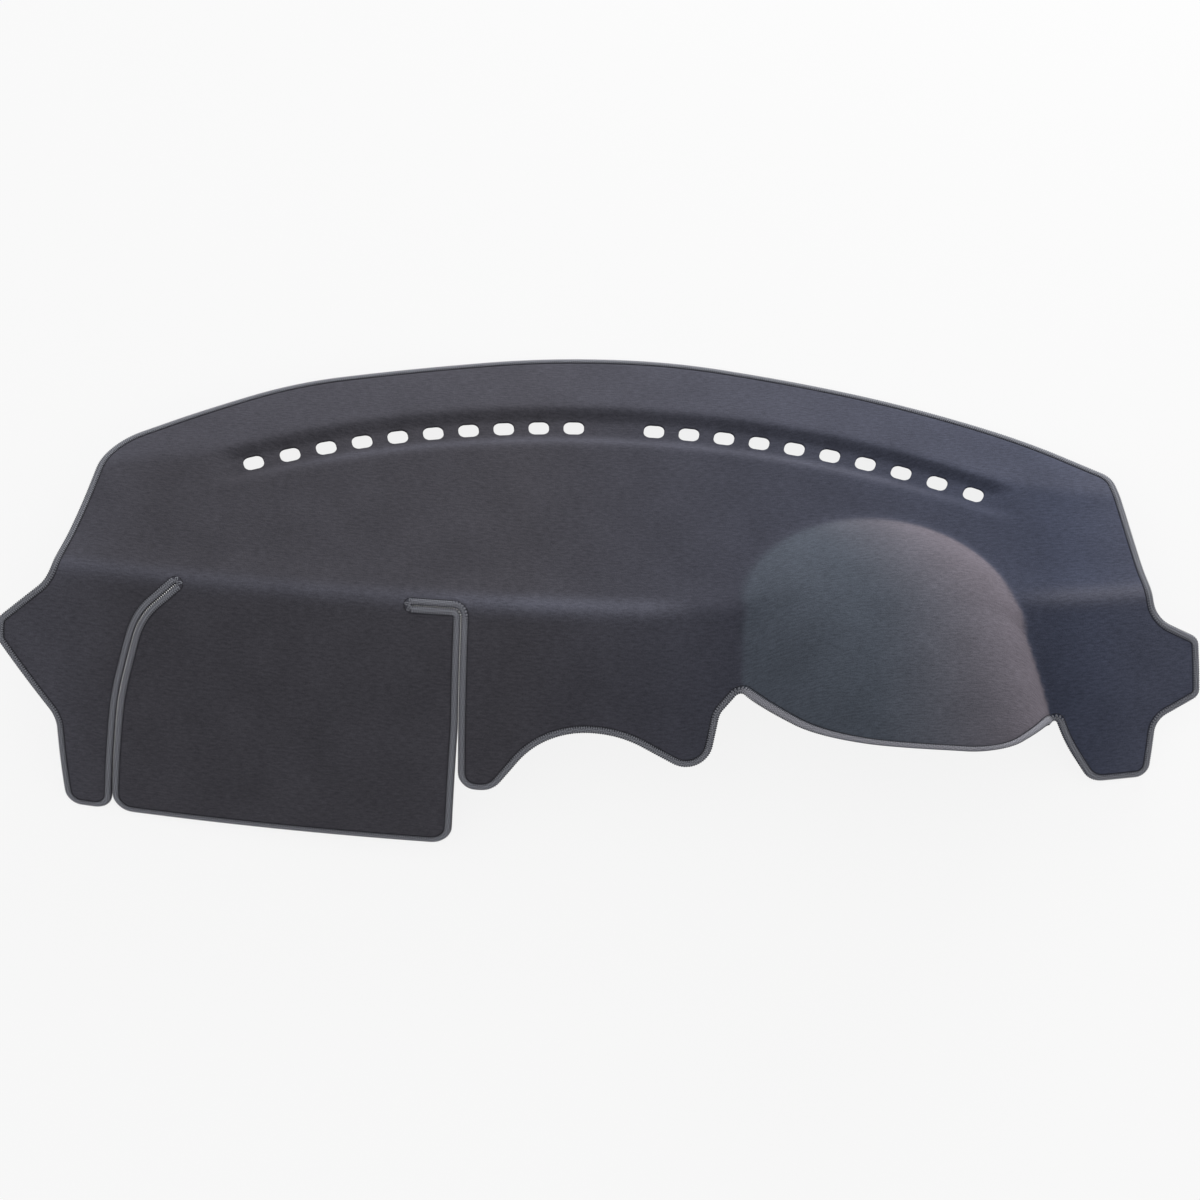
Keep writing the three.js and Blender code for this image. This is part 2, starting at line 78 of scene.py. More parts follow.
# The sheet of needled carpet. It is pressed in a heated mould to the dashboard's form.
# Its top is flat, a channel for the demister air is sunk along its back, a hood rises over the
# instruments, and the face in front of the crease rolls down on a large radius.
CREASE_SWEEP = 46.8
CREASE_SWEEP_AT = 600.0
CREASE_SOFTNESS = 9.0
LIP_HEIGHT = 2.5
LIP_BACK = 50.0
LIP_FRONT = 25.0
FLAT_HALF_WIDTH = 200.0
END_DROP = 26.0
END_DROP_RUN = 530.0
FACE_START = math.radians(20.0)
FACE_RADIUS = 380.0
STEEPEST_SINE = 0.999
CHANNEL_SETBACK = 279.3
CHANNEL_SWEEP = 80.0
CHANNEL_SKEW = 6.0
CHANNEL_SWEEP_AT = 470.0
CHANNEL_EASE_OUT = 60.0
CHANNEL_DEPTH = 9.0
CHANNEL_FLOOR_HALF = 12.0
CHANNEL_FRONT_RUN = 24.0
CHANNEL_REAR_RUN = 14.0
CHANNEL_END_RUN = 35.0
CHANNEL_HALF = 471.6
SLOTS_PER_SIDE = 10
SLOT_PITCH = 44.6
SLOT_MIDDLE_GAP = 102.4
SLOT_ROW_CENTRE = 12.0
SLOT_LENGTH = 26.0
SLOT_WIDTH = 21.0
SLOT_CORNER = 8.5
REAR_FOLD_SETBACK = 16.0
REAR_FALL = math.radians(12.0)
REAR_FOLD_SOFTNESS = 8.0
HOOD_AXIS = 335.0
HOOD_HEIGHT = 42.0
HOOD_FORWARD_FALL = 57.0
HOOD_FORWARD_RUN = 185.0
HOOD_LEFT_WIDTH = 171.0
HOOD_RIGHT_WIDTH = 168.0
HOOD_RIGHT_FLARE = 0.39
HOOD_BACK_START = -20.0
HOOD_BACK_LENGTH = 145.0
HOOD_LEFT_POWER = 2.6
HOOD_RIGHT_POWER = 5.0
HOOD_BACK_POWER = 3.0
HOOD_BLEND = 14.0
LEAST_RATIO = 1e-9
SLOPE_STEP = 0.5


def crease_line(x):
    """The crease runs on a parabola, its ends further back than its middle."""
    return CREASE_SWEEP * (x / CREASE_SWEEP_AT) ** 2


def channel_line(x):
    """The slots' centre line: a skewed parabola that eases out to a straight past its last slots."""
    beyond = np.maximum(np.abs(x) - CHANNEL_SWEEP_AT, 0)
    eased = CHANNEL_EASE_OUT * (1 - np.exp(-beyond / CHANNEL_EASE_OUT))
    across = np.sign(x) * (np.minimum(np.abs(x), CHANNEL_SWEEP_AT) + eased) / CHANNEL_SWEEP_AT
    return CHANNEL_SETBACK - CHANNEL_SKEW * across - CHANNEL_SWEEP * across ** 2


def soft_ramp(distance, soft):
    """A straight ramp of slope one whose start is a parabola from -soft to +soft."""
    rounded = (distance + soft) ** 2 / (4 * soft)
    return np.where(distance <= -soft, 0, np.where(distance >= soft, distance, rounded))


def smooth_step(value, low, high):
    """From 0 at low to 1 at high along 3t squared less 2t cubed."""
    t = np.clip((value - low) / (high - low), 0, 1)
    return t * t * (3 - 2 * t)


def face_drop(forward):
    """Drop of the face at a plan distance in front of the crease: an arc that starts sloping."""
    sine = np.minimum(math.sin(FACE_START) + forward / FACE_RADIUS, STEEPEST_SINE)
    return FACE_RADIUS * (math.cos(FACE_START) - np.sqrt(1 - sine * sine))


def end_drop(x):
    """The top is flat in the middle and falls by a parabola to both ends."""
    return END_DROP * (np.maximum(np.abs(x) - FLAT_HALF_WIDTH, 0) / END_DROP_RUN) ** 2


def sheet_height(x, y):
    """The top with its lip, less the fall to its ends, the rear fall, the channel and the face."""
    behind = y - crease_line(x)
    behind_channel = y - channel_line(x)
    reach = np.minimum(np.abs(behind) / np.where(behind > 0, LIP_BACK, LIP_FRONT), 1)
    lip = LIP_HEIGHT * (1 - reach * reach) ** 2
    rear = soft_ramp(behind_channel - CHANNEL_FLOOR_HALF - REAR_FOLD_SETBACK, REAR_FOLD_SOFTNESS)
    front_wall = smooth_step(behind_channel, -CHANNEL_FLOOR_HALF - CHANNEL_FRONT_RUN, -CHANNEL_FLOOR_HALF)
    rear_wall = smooth_step(behind_channel, CHANNEL_FLOOR_HALF + CHANNEL_REAR_RUN, CHANNEL_FLOOR_HALF)
    ends = smooth_step(np.abs(x - SLOT_ROW_CENTRE), CHANNEL_HALF + CHANNEL_END_RUN, CHANNEL_HALF)
    return (lip - end_drop(x) - math.tan(REAR_FALL) * rear
            - CHANNEL_DEPTH * front_wall * rear_wall * ends
            - face_drop(soft_ramp(-behind, CREASE_SOFTNESS)))


def hood_shares(x, y):
    """How far a place is across and behind the hood's crest, as shares of the hood's extent."""
    behind = y - crease_line(HOOD_AXIS)
    flare = HOOD_RIGHT_FLARE * np.maximum(HOOD_BACK_START - behind, 0)
    across = (x - HOOD_AXIS) / np.where(x < HOOD_AXIS, HOOD_LEFT_WIDTH, HOOD_RIGHT_WIDTH + flare)
    return across, np.maximum(behind - HOOD_BACK_START, 0) / HOOD_BACK_LENGTH


def hood_height(x, y):
    """A crest line that falls forwards, less a power of the distance from it: the power differs
    to the left, to the right and behind, and the distance is one where the hood meets the sheet."""
    behind = y - crease_line(HOOD_AXIS)
    crest = HOOD_HEIGHT - HOOD_FORWARD_FALL * (np.minimum(behind, 0) / HOOD_FORWARD_RUN) ** 2
    across, back = hood_shares(x, y)
    ratio = np.maximum(np.hypot(across, back), LEAST_RATIO)
    side = across / ratio
    side_power = np.where(side < 0, HOOD_LEFT_POWER, HOOD_RIGHT_POWER)
    power = HOOD_BACK_POWER + (side_power - HOOD_BACK_POWER) * np.abs(side)
    return crest - end_drop(x) - (crest + face_drop(np.maximum(-behind, 0))) * ratio ** power


def on_plan(flat):
    """Plan places of places on the flat sheet, given as across and up from the crease: up the
    sheet is plan distance behind the crease, and arc length down the face before it."""
    turned = FACE_START + np.maximum(-flat[:, 1], 0) / FACE_RADIUS
    forward = FACE_RADIUS * (np.sin(turned) - math.sin(FACE_START))
    return flat[:, 0], crease_line(flat[:, 0]) + np.maximum(flat[:, 1], 0) - forward


def mould(flat):
    """Upper surface over places on the flat sheet: the height is the higher of the sheet and the
    hood, with a fillet in the valley between."""
    x, y = on_plan(flat)
    low = sheet_height(x, y)
    high = hood_height(x, y)
    near = np.maximum(HOOD_BLEND - np.abs(low - high), 0) / HOOD_BLEND
    return np.stack([x, y, np.maximum(low, high) + near * near * HOOD_BLEND / 4], -1)


def unit(vectors):
    """The vectors, each made one long."""
    return vectors / np.linalg.norm(vectors, axis=-1, keepdims=True)


def mould_normal(flat):
    """Unit normal of the mould: the cross product of its slopes across and up the sheet."""
    across = mould(flat + (SLOPE_STEP, 0)) - mould(flat - (SLOPE_STEP, 0))
    along = mould(flat + (0, SLOPE_STEP)) - mould(flat - (0, SLOPE_STEP))
    return unit(np.cross(across, along))


# The cut: knots on the flat sheet, each with the radius of its corner, anticlockwise from the
# rear left. The end legs, the long flap, the middle panel and the rim of the hood part at slits.
FREE = math.inf
SLIT_WIDTH = 5.0
RELIEF_LENGTH = 59.0
RELIEF_DEPTH = 9.0
LEG_LENGTH = 307.0
FLAP_LENGTH = 306.0
FLAP_RIGHT = -167.0
FLAP_TAPER = 9.0
LEFT_END = [(-629, 194, 110), (-646, 75, FREE), (-668, -20, 60), (-729, -76, 12), (-729, -101, 10),
            (-655, -188, 40), (-653, -LEG_LENGTH, 18)]
LEFT_SLIT = [(-597, -LEG_LENGTH, 22), (-577, -150, 400), (-553, -50, 90), (-508, -7, 0)]
FLAP_SIDE = [(FLAP_RIGHT - FLAP_TAPER, -FLAP_LENGTH, 24),
             (FLAP_RIGHT, -150, 300), (FLAP_RIGHT, -RELIEF_DEPTH - SLIT_WIDTH / 2, 7),
             (FLAP_RIGHT - RELIEF_LENGTH, -RELIEF_DEPTH - SLIT_WIDTH / 2, SLIT_WIDTH / 2),
             (FLAP_RIGHT - RELIEF_LENGTH, -RELIEF_DEPTH + SLIT_WIDTH / 2, SLIT_WIDTH / 2),
             (FLAP_RIGHT + SLIT_WIDTH, -RELIEF_DEPTH + SLIT_WIDTH / 2, 12)]
CENTRE_PANEL = [(FLAP_RIGHT + SLIT_WIDTH, -226, 24), (-124, -226, 26), (-79, -167, FREE),
                (-30, -146, FREE), (30, -150, FREE), (129, -204, 30), (143, -124, 25)]
HOOD_RIM = [(168, -95, 8), (205, -143, FREE), (248, -192, FREE), (300, -224, FREE), (360, -238, FREE),
            (442, -254, FREE), (480, -243, FREE), (513, -205, FREE), (551, -140, 6)]
RIGHT_END = [(568, -178, FREE), (604, -230, 28), (674, -229, 15), (676, -157, 26), (730, -131, 10),
             (726, -63, 12), (673, -35, 45), (662, 28, 150), (644, 180, 32)]
REAR_EDGE = [(530, 262, FREE), (380, 324, FREE), (230, 369, FREE), (80, 403, FREE), (-85, 402, FREE),
             (-240, 372, FREE), (-400, 334, FREE), (-510, 277, FREE)]
ARC_TURN = math.radians(9.0)
CUT_STEP = 3.0
SHORTEST_STEP = 0.2


def slit_knots(centre, width):
    """Both sides of a slit: its centre line moved half a width left, then back half a width right,
    each knot moved along the mitre of its two sides."""
    line = np.array([knot[:2] for knot in centre], float)
    way = unit(np.diff(line, axis=0))
    left = np.stack([-way[:, 1], way[:, 0]], -1)
    before = np.concatenate([left[:1], left])
    after = np.concatenate([left, left[-1:]])
    mitre = (before + after) / (1 + (before * after).sum(1, keepdims=True))
    radius = np.maximum([knot[2] for knot in centre], width / 2)
    sides = [np.column_stack([line + sign * mitre * width / 2, radius]) for sign in (1, -1)]
    return [tuple(knot) for knot in np.concatenate([sides[0], sides[1][::-1]])]


def rounded_outline(knots):
    """A closed line through the knots: each corner is an arc that touches both its sides, of its
    own radius or as large as half of the shorter side allows, and the sides run straight."""
    corners = np.array([knot[:2] for knot in knots], float)
    to_before = np.roll(corners, 1, axis=0) - corners
    to_after = np.roll(corners, -1, axis=0) - corners
    room = np.minimum(np.linalg.norm(to_before, axis=1), np.linalg.norm(to_after, axis=1)) / 2
    before = unit(to_before)
    after = unit(to_after)
    half = np.arccos(np.clip((before * after).sum(1), -1, 1)) / 2
    radius = np.minimum([knot[2] for knot in knots], room * np.tan(half))
    centre = corners + unit(before + after) * (radius / np.sin(half))[:, None]
    spoke = corners + before * (radius / np.tan(half))[:, None] - centre
    turn = (math.pi - 2 * half) * np.sign(after[:, 0] * before[:, 1] - after[:, 1] * before[:, 0])
    pieces = []
    for i in range(len(corners)):
        parts = max(2, math.ceil(abs(turn[i]) * max(1 / ARC_TURN, radius[i] / CUT_STEP)))
        angle = turn[i] * np.arange(parts + 1) / parts
        pieces.append(np.stack([np.cos(angle) * spoke[i, 0] - np.sin(angle) * spoke[i, 1],
                                np.sin(angle) * spoke[i, 0] + np.cos(angle) * spoke[i, 1]], -1) + centre[i])
    line = []
    for piece, following in zip(pieces, pieces[1:] + pieces[:1]):
        gap = following[0] - piece[-1]
        parts = max(1, math.ceil(np.linalg.norm(gap) / CUT_STEP))
        line += [piece, piece[-1] + gap * np.arange(1, parts)[:, None] / parts]
    line = np.concatenate(line)
    return line[np.linalg.norm(line - np.roll(line, -1, axis=0), axis=1) > SHORTEST_STEP]


def inward(line):
    """Unit vectors to the left of a closed line at its points, halfway between its two sides."""
    way = unit(np.roll(line, -1, axis=0) - line)
    mean = unit(way + np.roll(way, 1, axis=0))
    return np.stack([-mean[:, 1], mean[:, 0]], -1)


cut_line = rounded_outline(LEFT_END + slit_knots(LEFT_SLIT, SLIT_WIDTH) + FLAP_SIDE + CENTRE_PANEL
                           + HOOD_RIM + RIGHT_END + REAR_EDGE)


def slot_line(i, side):
    """One demister slot: a rounded oblong on the channel's centre line, turned with it."""
    x = SLOT_ROW_CENTRE + side * (SLOT_MIDDLE_GAP / 2 + i * SLOT_PITCH)
    up = channel_line(x) - crease_line(x)
    slope = channel_line(x + 1) - crease_line(x + 1) - up
    turn = np.array(Matrix.Rotation(math.atan(slope), 2))
    corners = np.array([(-1, -1), (1, -1), (1, 1), (-1, 1)]) * (SLOT_LENGTH / 2, SLOT_WIDTH / 2)
    return rounded_outline([(*corner, SLOT_CORNER) for corner in corners @ turn.T + (x, up)])


slot_lines = [slot_line(i, side) for side in (-1, 1) for i in range(SLOTS_PER_SIDE)]

# The cut edge. The overlock pulls the sheet into a roll along the outline, with a groove where its
# needle went in, and the edges of the slots are cut with a hot knife, which rounds them a little.
ROLL_MIDDLE = 2.4
ROLL_HALF_WIDTH = 4.75
ROLL_HALF_HEIGHT = 2.8
NEEDLE_LINE = 7.0
GROOVE_HALF_WIDTH = 1.5
GROOVE_DEPTH = 0.5
YARN_SEAT = 0.7
LEAST_HALF_THICKNESS = 0.6
EDGE_RINGS = (0.0, 1.0, 2.5, 4.8, NEEDLE_LINE, 8.5, 10.8)
SLOT_RINGS = (0.0, 0.5, 1.2, 2.4, 4.5)
SLOT_ROUNDING = 1.2
GRID_STEP = 5.6
GRID_CLEARANCE = 2.6
EDGE_ROWS = 4
FILL_WHOLE_HULL = 0
SAME_PLACE = 1e-6


def half_thickness_at_edge(inside):
    """Half the carpet's thickness at a distance inside the sewn edge: an ellipse under the yarn,
    then the full half with a groove at the needle line."""
    along = np.clip((inside - ROLL_MIDDLE) / ROLL_HALF_WIDTH, -1, 1)
    rolled = (ROLL_HALF_HEIGHT - YARN_SEAT) * np.sqrt(1 - along * along)
    groove = GROOVE_DEPTH * np.exp(-((inside - NEEDLE_LINE) / GROOVE_HALF_WIDTH) ** 2)
    full = CARPET_THICKNESS / 2 - groove
    return np.where(inside < NEEDLE_LINE, np.minimum(np.maximum(rolled, LEAST_HALF_THICKNESS), full), full)


def half_thickness_at_slot(outside):
    """Half the carpet's thickness at a distance from a slot: full, less a quarter round."""
    depth = np.clip(1 - outside / SLOT_ROUNDING, 0, 1)
    return CARPET_THICKNESS / 2 - SLOT_ROUNDING * (1 - np.sqrt(1 - depth * depth))


def nearest(points, line, chunk=2000):
    """Distance from each point to the nearest point of a line, worked out in slices."""
    slices = [points[i:i + chunk] for i in range(0, len(points), chunk)]
    return np.concatenate([np.sqrt(((part[:, None] - line[None]) ** 2).sum(-1).min(1)) for part in slices])


def is_inside(points, lines, chunk=4000):
    """Whether each point lies on the cloth: a ray to its right crosses the closed lines an odd
    number of times, counted in slices."""
    start = np.concatenate(lines)
    end = np.concatenate([np.roll(line, -1, axis=0) for line in lines])
    slope = (end[:, 0] - start[:, 0]) / np.where(end[:, 1] == start[:, 1], 1, end[:, 1] - start[:, 1])
    found = []
    for i in range(0, len(points), chunk):
        x = points[i:i + chunk, :1]
        y = points[i:i + chunk, 1:]
        spans = (start[:, 1] > y) != (end[:, 1] > y)
        found.append((spans & (x < start[:, 0] + (y - start[:, 1]) * slope)).sum(1) % 2 == 1)
    return np.concatenate(found)


def carpet_faces():
    """Points on the flat sheet, half thicknesses, triangles, and the closed cut lines: rings beside
    each cut, a square grid between them, and a triangulation that keeps to the cuts."""
    outline_in = inward(cut_line)
    rings = [cut_line + outline_in * inside for inside in EDGE_RINGS]
    halves = [np.full(len(cut_line), half_thickness_at_edge(np.array(inside))) for inside in EDGE_RINGS]
    for line in slot_lines:
        outward = -inward(line)
        rings += [line + outward * outside for outside in SLOT_RINGS]
        halves += [np.full(len(line), half_thickness_at_slot(np.array(outside))) for outside in SLOT_RINGS]
    low = cut_line.min(0)
    high = cut_line.max(0)
    grid = np.stack(np.meshgrid(np.arange(low[0], high[0], GRID_STEP),
                                np.arange(low[1], high[1], GRID_STEP)), -1).reshape(-1, 2)
    clear_of_edge = nearest(grid, cut_line) > EDGE_RINGS[-1] + GRID_CLEARANCE
    clear_of_slots = nearest(grid, np.concatenate(slot_lines)) > SLOT_RINGS[-1] + GRID_CLEARANCE
    grid = grid[clear_of_edge & clear_of_slots]
    points = np.concatenate([*rings, grid])
    half = np.concatenate([*halves, np.full(len(grid), CARPET_THICKNESS / 2)])
    starts = np.cumsum([0] + [len(ring) for ring in rings])
    cuts = [0] + [len(EDGE_RINGS) + i * len(SLOT_RINGS) for i in range(len(slot_lines))]
    loops = [np.arange(starts[i], starts[i] + len(rings[i])) for i in cuts]
    edges = np.concatenate([np.stack([loop, np.roll(loop, -1)], -1) for loop in loops])
    found = delaunay_2d_cdt([Vector(p) for p in points], edges.tolist(), [], FILL_WHOLE_HULL,
                            SAME_PLACE, True)
    source = np.array([ids[0] for ids in found[3]])
    triangles = source[np.array(found[2])]
    corners = points[triangles]
    on_cloth = is_inside(corners.mean(1), [cut_line, *slot_lines])
    triangles = triangles[on_cloth]
    corners = corners[on_cloth]
    side_a = corners[:, 1] - corners[:, 0]
    side_b = corners[:, 2] - corners[:, 0]
    flipped = side_a[:, 0] * side_b[:, 1] < side_a[:, 1] * side_b[:, 0]
    triangles[flipped] = triangles[flipped][:, ::-1]
    used = np.unique(triangles)
    place = np.full(len(points), -1)
    place[used] = np.arange(len(used))
    return points[used], half[used], place[triangles], [place[loop] for loop in loops]


def mesh_piece(name, points, faces, material, uv=None, tone_masks=None):
    """A smooth shaded object at the origin from rows of places in metres and rows of corners, with
    a UV map and the named shares of painted tone at its vertices, where they are given."""
    mesh = bpy.data.meshes.new(name)
    mesh.vertices.add(len(points))
    mesh.vertices.foreach_set("co", np.ascontiguousarray(points, np.float32).ravel())
    corners = np.concatenate([block.ravel() for block in faces])
    sizes = np.concatenate([np.full(len(block), block.shape[1]) for block in faces])
    mesh.loops.add(len(corners))
    mesh.loops.foreach_set("vertex_index", corners.astype(np.int32))
    mesh.polygons.add(len(sizes))
    mesh.polygons.foreach_set("loop_start", (np.cumsum(sizes) - sizes).astype(np.int32))
    mesh.polygons.foreach_set("use_smooth", np.ones(len(sizes), bool))
    if uv is not None:
        layer = mesh.uv_layers.new(name="sheet")
        layer.data.foreach_set("uv", uv[corners].astype(np.float32).ravel())
    for share, values in (tone_masks or {}).items():
        mesh.attributes.new(share, "FLOAT", "POINT").data.foreach_set("value", values.astype(np.float32))
    mesh.update(calc_edges=True)
    mesh.materials.append(material)
    piece = bpy.data.objects.new(name, mesh)
    bpy.context.scene.collection.objects.link(piece)
    return piece


# Tones painted on the cloth: the whole hood is a paler grey, with painted highlight on its back and
# right, where the light falls. Painted highlights lie along the crease on the lip's rounded edge, on the
# strip behind the channel and on the channel's front wall, which face back to the light; both ends are
# paler.
HOOD_EDGE = 5.0
HIGHLIGHT_ACROSS = 0.85
HIGHLIGHT_BACK = 0.42
HIGHLIGHT_FROM = -0.15
HIGHLIGHT_TO = 0.9
CREASE_HIGHLIGHT_HALF_WIDTH = 12.0
CREASE_HIGHLIGHT_AT = (-250, -60, 60, 115, 480, 560)
CREASE_HIGHLIGHT_BY = (0.4, 0.95, 0.8, 0.0, 0.0, 0.6)
END_PALE = 0.25
END_PALE_FROM = 540.0
END_PALE_TO = 690.0
REAR_HIGHLIGHT = 0.2
REAR_HIGHLIGHT_RUN = 30.0
CHANNEL_LIP_HIGHLIGHT = 0.35
CHANNEL_LIP_HIGHLIGHT_AHEAD = 24.0
CHANNEL_LIP_HIGHLIGHT_HALF_WIDTH = 9.0
CHANNEL_LIP_HIGHLIGHT_RUN = 300.0


def painted_tone_shares(flat):
    """Share of the hood, of its painted highlight on the lit back and right, and of the painted
    highlights and paler ends at places on the sheet: soft steps over the hood's height above the sheet,
    over its side, behind the channel and at the ends, and bells across the crease and across the channel's
    front lip."""
    x, y = on_plan(flat)
    hood = smooth_step(hood_height(x, y) - sheet_height(x, y), -HOOD_EDGE, HOOD_EDGE)
    across, back = hood_shares(x, y)
    # Painted highlight on the hood's back and right, the side the light falls on.
    hood_highlight = smooth_step(HIGHLIGHT_ACROSS * across + HIGHLIGHT_BACK * back, HIGHLIGHT_FROM, HIGHLIGHT_TO)
    behind_channel = y - channel_line(x)
    # Painted highlights along the crease, behind the channel and on the channel's front wall, where the
    # surface faces the light; the ends are only made paler.
    crease = np.interp(x, CREASE_HIGHLIGHT_AT, CREASE_HIGHLIGHT_BY) * np.exp(-(flat[:, 1] / CREASE_HIGHLIGHT_HALF_WIDTH) ** 2)
    ends = END_PALE * smooth_step(np.abs(x), END_PALE_FROM, END_PALE_TO)
    rear = REAR_HIGHLIGHT * smooth_step(behind_channel, CHANNEL_FLOOR_HALF, CHANNEL_FLOOR_HALF + REAR_HIGHLIGHT_RUN)
    lip = (CHANNEL_LIP_HIGHLIGHT * smooth_step(np.abs(x), CHANNEL_HALF, CHANNEL_LIP_HIGHLIGHT_RUN)
           * np.exp(-((behind_channel + CHANNEL_LIP_HIGHLIGHT_AHEAD) / CHANNEL_LIP_HIGHLIGHT_HALF_WIDTH) ** 2))
    pale_highlight = np.clip(crease + ends + rear + lip, 0, 1) * (1 - hood)
    return {"hood": hood, "hood_highlight": hood_highlight, "pale_highlight": pale_highlight}


def carpet_mesh(material):
    """The shell: the mould's upper surface less half the carpet's thickness is its middle, both
    faces stand half a thickness off it, and a half round closes them along every cut."""
    flat, half, triangles, loops = carpet_faces()
    normal = mould_normal(flat)
    middle = mould(flat) - normal * CARPET_THICKNESS / 2
    count = len(flat)
    points = [middle + normal * half[:, None], middle - normal * half[:, None]]
    uv = [flat, flat]
    faces = [triangles, triangles[:, ::-1] + count]
    start = 2 * count
    for loop in loops:
        out = -inward(flat[loop])
        lean = unit(mould(flat[loop] + out * SLOPE_STEP) - mould(flat[loop] - out * SLOPE_STEP))
        angle = math.pi * np.arange(1, EDGE_ROWS) / EDGE_ROWS
        rows = (middle[loop] + half[loop, None] * (np.cos(angle)[:, None, None] * normal[loop]
                                                   + np.sin(angle)[:, None, None] * lean))
        points.append(rows.reshape(-1, 3))
        uv.append(np.tile(flat[loop], (EDGE_ROWS - 1, 1)))
        size = len(loop)
        inner = start + np.arange((EDGE_ROWS - 1) * size).reshape(-1, size)
        ladder = np.concatenate([loop[None], inner, loop[None] + count])
        along = np.roll(ladder, -1, axis=1)
        quads = np.stack([ladder[:-1], ladder[1:], along[1:], along[:-1]], -1)
        faces.append(quads.reshape(-1, 4))
        start += (EDGE_ROWS - 1) * size
    on_sheet = np.concatenate(uv)
    return mesh_piece("needled_carpet", laid_down(np.concatenate(points)), faces, material,
                      on_sheet * MM, painted_tone_shares(on_sheet))


# Needled polyester carpet: fibres of dark and mid grey are punched into a felt by barbed needles,
# which leaves fine ribs across the sheet and a matt, slightly hairy face. The dye is a cool
# charcoal that turns bluer to the driver's side.
CHARCOAL = 0x45444A
BLUE_CHARCOAL = 0x404556
# The hood is painted a paler grey; the lighter grey on its back and right is painted highlight, and so is
# the pale grey along the crease, behind the channel and on the channel's front wall.
HOOD_GREY = 0x4F555F
HOOD_HIGHLIGHT_GREY = 0x706A72
PALE_HIGHLIGHT_GREY = 0x62636F
BLUE_FROM_M = -0.1
BLUE_TO_M = 0.6
RIB_SPACING_MM = 2.6
RIB_LENGTH_MM = 9.0
TUFT_MM = 1.5
MOTTLE_MM = 70.0
FIBRE_CONTRAST = 0.27
MOTTLE_CONTRAST = 0.08
RIB_RELIEF_MM = 0.3
TUFT_RELIEF_MM = 0.3


def linear(colour):
    """Linear red, green, blue and alpha of an sRGB hex value, by the sRGB curve."""
    srgb = np.array([colour >> 16 & 255, colour >> 8 & 255, colour & 255]) / 255
    value = np.where(srgb <= 0.04045, srgb / 12.92, ((srgb + 0.055) / 1.055) ** 2.4)
    return (*value.tolist(), 1.0)


def add_node(tree, kind, inputs, **settings):
    """A shader node with its settings, and for each named input a value or the socket that feeds it."""
    node = tree.nodes.new("ShaderNode" + kind)
    for name, value in settings.items():
        setattr(node, name, value)
    for name, value in inputs.items():
        if isinstance(value, bpy.types.NodeSocket):
            tree.links.new(value, node.inputs[name])
        else:
            node.inputs[name].default_value = value
    return node


def new_material(name):
    """A material with an empty tree and its output node."""
    material = bpy.data.materials.new(name)
    material.use_nodes = True
    material.node_tree.nodes.clear()
    return material, material.node_tree


